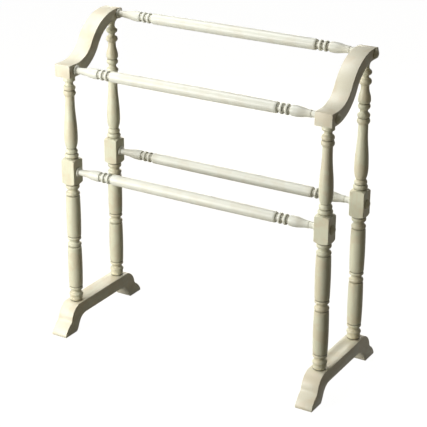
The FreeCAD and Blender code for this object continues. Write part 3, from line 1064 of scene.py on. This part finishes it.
@dataclass
class Boards:
    """The sawn feet and arms, with their long edges eased by hand before painting."""

    finish: bpy.types.Material
    eased_edge: float = 0.8
    ease_segments: int = 3
    ease_past_degrees: float = 50.0
    sharp_degrees: float = 35.0
    weld: float = 0.002
    flat_degrees: float = 0.4

    def build(self) -> None:
        """Eases and dresses the feet and the arms."""
        for side in SIDES:
            for part in ("foot", "arm"):
                node = f"{side}_{part}"
                dress(self.ease(node), "painted_wood", node)

    def ease(self, node: str) -> bpy.types.Object:
        """A copy of one board's solid with its edges rounded.

        Args:
            node: The board's name in the frame.

        Returns:
            The finished piece.
        """
        work = bmesh.new()
        work.from_mesh(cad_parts[node].data)
        bmesh.ops.remove_doubles(work, verts=work.verts, dist=self.weld * MM)
        bmesh.ops.dissolve_limit(
            work,
            angle_limit=math.radians(self.flat_degrees),
            verts=work.verts,
            edges=work.edges,
        )
        mesh = bpy.data.meshes.new(f"{node}_blank")
        work.to_mesh(mesh)
        work.free()
        mesh.materials.append(self.finish)
        blank = bpy.data.objects.new(f"{node}_blank", mesh)
        bpy.context.collection.objects.link(blank)
        bevel = blank.modifiers.new("eased edges", "BEVEL")
        bevel.width = self.eased_edge * MM
        bevel.segments = self.ease_segments
        bevel.limit_method = "ANGLE"
        bevel.angle_limit = math.radians(self.ease_past_degrees)
        bevel.harden_normals = False
        piece = plain_piece(f"sawn_{node}", blank)
        tidy_normals(piece.data, self.sharp_degrees)
        return piece


@dataclass
class Fixings:
    """The domed buttons, and the bolts, washers and threaded inserts that they hide."""

    lathe: Lathe
    button_finish: bpy.types.Material
    steel: bpy.types.Material
    brass: bpy.types.Material
    edge_height: float = 1.4
    shank_radius: float = 7.0
    shank_length: float = 5.0
    dome_parts: int = 16

    def build(self) -> None:
        """Turns the buttons and dresses the metal."""
        for rail in ("upper_front", "upper_rear", "lower_front", "lower_rear"):
            for side in SIDES:
                self.button(f"{rail}_{side}_button", 1 if side == "right" else -1)
                finishes = {"bolt": self.steel, "washer": self.steel, "insert": self.brass}
                for part, finish in finishes.items():
                    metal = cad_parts[f"{rail}_{side}_{part}"]
                    metal.data.materials.clear()
                    metal.data.materials.append(finish)

    def button(self, node: str, outwards: int) -> None:
        """Turns one button: a shank in its counterbore and a shallow dome outside.

        Args:
            node: The button's name in the frame.
            outwards: The sign of X away from the rack.
        """
        low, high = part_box(node)
        radius = (high.z - low.z) / 2 / MM
        dome = (high.x - low.x) / MM - self.shank_length - self.edge_height
        line = LatheOutline()
        line.step(self.shank_radius)
        line.rise(self.shank_length)
        line.step(radius)
        line.rise(self.edge_height)
        sphere = (radius**2 + dome**2) / (2 * dome)
        for index in range(1, self.dome_parts + 1):
            across = radius * (1 - index / self.dome_parts)
            up = math.sqrt(sphere**2 - across**2) - (sphere - dome)
            line.points.append((across, self.shank_length + self.edge_height + up))
        inner = low.x if outwards > 0 else high.x
        axis = Matrix.Translation((inner, (low.y + high.y) / 2, (low.z + high.z) / 2))
        place = axis @ Matrix.Rotation(outwards * math.pi / 2, 4, "Y")
        piece = self.lathe.turn(f"turned_{node}", line, place, self.button_finish)
        dress(piece, "painted_wood", node)


# ---- Floor, light and camera ----


@dataclass(frozen=True)
class SoftBox:
    """A square soft light: its place in metres, its side, its power in watts and its tint."""

    name: str
    place: tuple[float, float, float]
    size: float
    power: float
    tint: str = "#FFFFFF"


@dataclass
class Studio:
    """A plain pale floor, soft boxes to the front left and overhead, and the camera."""

    azimuth: float = 30.879
    elevation: float = 21.043
    roll: float = 0.331
    distance: float = 3.4875
    aim_right: float = 0.0042
    aim_up: float = 0.0304
    lens: float = 115.0
    shift_y: float = -0.07
    clip_end: float = 60.0
    lights: tuple[SoftBox, ...] = (
        SoftBox("key", (-1.05, -1.8, 0.9), 0.9, 34.5),
        SoftBox("side", (-2.0, -1.0, 1.0), 0.9, 11.5),
        SoftBox("top", (-0.8, 0.0, 2.5), 1.1, 30.0),
        SoftBox("low card", (-0.5, -1.7, 0.15), 0.8, 6.0, "#FFFAEC"),
        SoftBox("back fill", (-1.2, 2.1, 0.7), 1.1, 18.0, "#FFFAEC"),
        SoftBox("right fill", (2.3, 0.3, 0.9), 0.9, 2.2, "#FFF4D6"),
    )
    sheet: str = "#5E5A48"
    sheet_reach: float = 30.0
    sheet_gap_mm: float = 0.2
    sheet_glow: float = 0.985
    white: float = 1.0
    mirrored: float = 0.5
    ambient: float = 0.012
    ambient_tint: str = "#EDE6B4"

    def build(self) -> None:
        """Sets the stage round the rack."""
        self.floor()
        self.background()
        self.soft_boxes()
        self.camera()
        bpy.context.scene.view_settings.view_transform = "Standard"

    def seen_or_lit(self, tree: bpy.types.NodeTree, seen: Any, lit: Any) -> bpy.types.NodeSocket:
        """Picks one shader where the stage is seen or mirrored, another where it lights the rack.

        Args:
            tree: The stage material's tree.
            seen: The bright shader, seen directly and half as bright in the gloss.
            lit: The dim shader that fills the shadows.

        Returns:
            The mixed shader.
        """
        rays = add_node(tree, "ShaderNodeLightPath").outputs
        gloss = add_node(
            tree,
            "ShaderNodeMath",
            {"operation": "MULTIPLY"},
            {0: rays["Is Glossy Ray"], 1: self.mirrored},
        ).outputs[0]
        share = add_node(
            tree, "ShaderNodeMath", {"operation": "MAXIMUM"}, {0: rays["Is Camera Ray"], 1: gloss}
        ).outputs[0]
        return add_node(tree, "ShaderNodeMixShader", inputs={0: share, 1: lit, 2: seen}).outputs[0]

    def floor(self) -> None:
        """A pale seamless sheet, a little below the soles so that they stand on it cleanly."""
        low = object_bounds()[0]
        size, z = self.sheet_reach, low.z - self.sheet_gap_mm * MM
        mesh = bpy.data.meshes.new("floor")
        mesh.from_pydata(
            [(-size, -size, z), (size, -size, z), (size, size, z), (-size, size, z)],
            [],
            [(0, 1, 2, 3)],
        )
        floor = bpy.data.objects.new("floor", mesh)
        bpy.context.collection.objects.link(floor)
        material = bpy.data.materials.new("white_studio_sheet")
        material.use_nodes = True
        tree = material.node_tree
        tree.nodes.clear()
        matt = add_node(
            tree, "ShaderNodeBsdfDiffuse", inputs={"Color": linear(self.sheet)}
        ).outputs[0]
        bright = add_node(
            tree,
            "ShaderNodeEmission",
            inputs={"Color": (1, 1, 1, 1), "Strength": self.sheet_glow},
        ).outputs[0]
        both = add_node(tree, "ShaderNodeAddShader", inputs={0: matt, 1: bright}).outputs[0]
        surface = self.seen_or_lit(tree, both, matt)
        add_node(tree, "ShaderNodeOutputMaterial", inputs={"Surface": surface})
        mesh.materials.append(material)
        floor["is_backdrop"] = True

    def background(self) -> None:
        """White behind the rack, and a dim warm fill on it."""
        world = bpy.data.worlds.new("studio")
        bpy.context.scene.world = world
        world.use_nodes = True
        tree = world.node_tree
        tree.nodes.clear()
        white = add_node(
            tree, "ShaderNodeBackground", inputs={"Color": (1, 1, 1, 1), "Strength": self.white}
        ).outputs[0]
        fill = add_node(
            tree,
            "ShaderNodeBackground",
            inputs={"Color": linear(self.ambient_tint), "Strength": self.ambient},
        ).outputs[0]
        surface = self.seen_or_lit(tree, white, fill)
        add_node(tree, "ShaderNodeOutputWorld", inputs={"Surface": surface})

    def soft_boxes(self) -> None:
        """Hangs each soft box and turns it to the middle of the rack."""
        low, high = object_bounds()
        for box in self.lights:
            data = bpy.data.lights.new(box.name, "AREA")
            data.shape = "SQUARE"
            data.size = box.size
            data.energy = box.power
            data.color = linear(box.tint)[:3]
            lamp = bpy.data.objects.new(box.name, data)
            bpy.context.collection.objects.link(lamp)
            lamp.location = box.place
            way = (low + high) / 2 - lamp.location
            lamp.rotation_euler = way.to_track_quat("-Z", "Y").to_euler()

    def camera(self) -> None:
        """The camera, placed by its angles round the rack's middle."""
        az, el, roll = [math.radians(a) for a in (self.azimuth, self.elevation, self.roll)]
        back = Vector((math.sin(az) * math.cos(el), -math.cos(az) * math.cos(el), math.sin(el)))
        level = Vector((math.cos(az), math.sin(az), 0))
        upright = back.cross(level)
        low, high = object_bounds()
        aim = (low + high) / 2 + level * self.aim_right + upright * self.aim_up
        right = level * math.cos(roll) + upright * math.sin(roll)
        up = upright * math.cos(roll) - level * math.sin(roll)
        data = bpy.data.cameras.new("camera")
        data.lens = self.lens
        data.shift_y = self.shift_y
        data.clip_end = self.clip_end
        camera = bpy.data.objects.new("camera", data)
        bpy.context.collection.objects.link(camera)
        turn = Matrix((right, up, back)).transposed().to_4x4()
        camera.matrix_world = Matrix.Translation(aim + back * self.distance) @ turn
        bpy.context.scene.camera = camera


def main() -> None:
    """Builds the rack's pieces in order, logging each one's face count, and sets the studio."""
    logging.basicConfig(level=logging.INFO, format="%(name)s: %(message)s")
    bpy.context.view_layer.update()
    # The one cream paint in three copies: the rails' copy is lighter and more neutral as painted
    # light, and the posts' and boards' copies are yellower as painted shade
    upright = AntiquedPaint(Grain.ALONG_Z).build()
    lengthways = AntiquedPaint(
        Grain.ALONG_X, paint="#E8E9DC", worn_paint="#E1DDCB", corner_shade_reach_mm=2.0
    ).build()
    sawn = AntiquedPaint(Grain.ALONG_Y, paint="#E9E5CF", worn_paint="#E0D2B4").build()
    steel = MachinedMetal("zinc_plated_steel", "#C3C6C8", "#9EA3A6", 0.32).build()
    brass = MachinedMetal("turned_brass", "#D9B46A", "#A88746", 0.3).build()

    Posts(Lathe(), upright).build()
    # The rails' hollows are painted darker towards their right ends: painted shade, as the light
    # rakes along them from the left
    rail_lathe = Lathe(
        segments=72, hollow_reach_mm=6.0, wide_hollow_share=1.0, glaze_and_shade_at_start=0.5, glaze_and_shade_at_end=1.0
    )
    Rails(rail_lathe, lengthways).build()
    Boards(sawn).build()
    Fixings(Lathe(segments=64, edge_mm=0.4), upright, steel, brass).build()

    Studio().build()


if __name__ == "__main__":
    main()
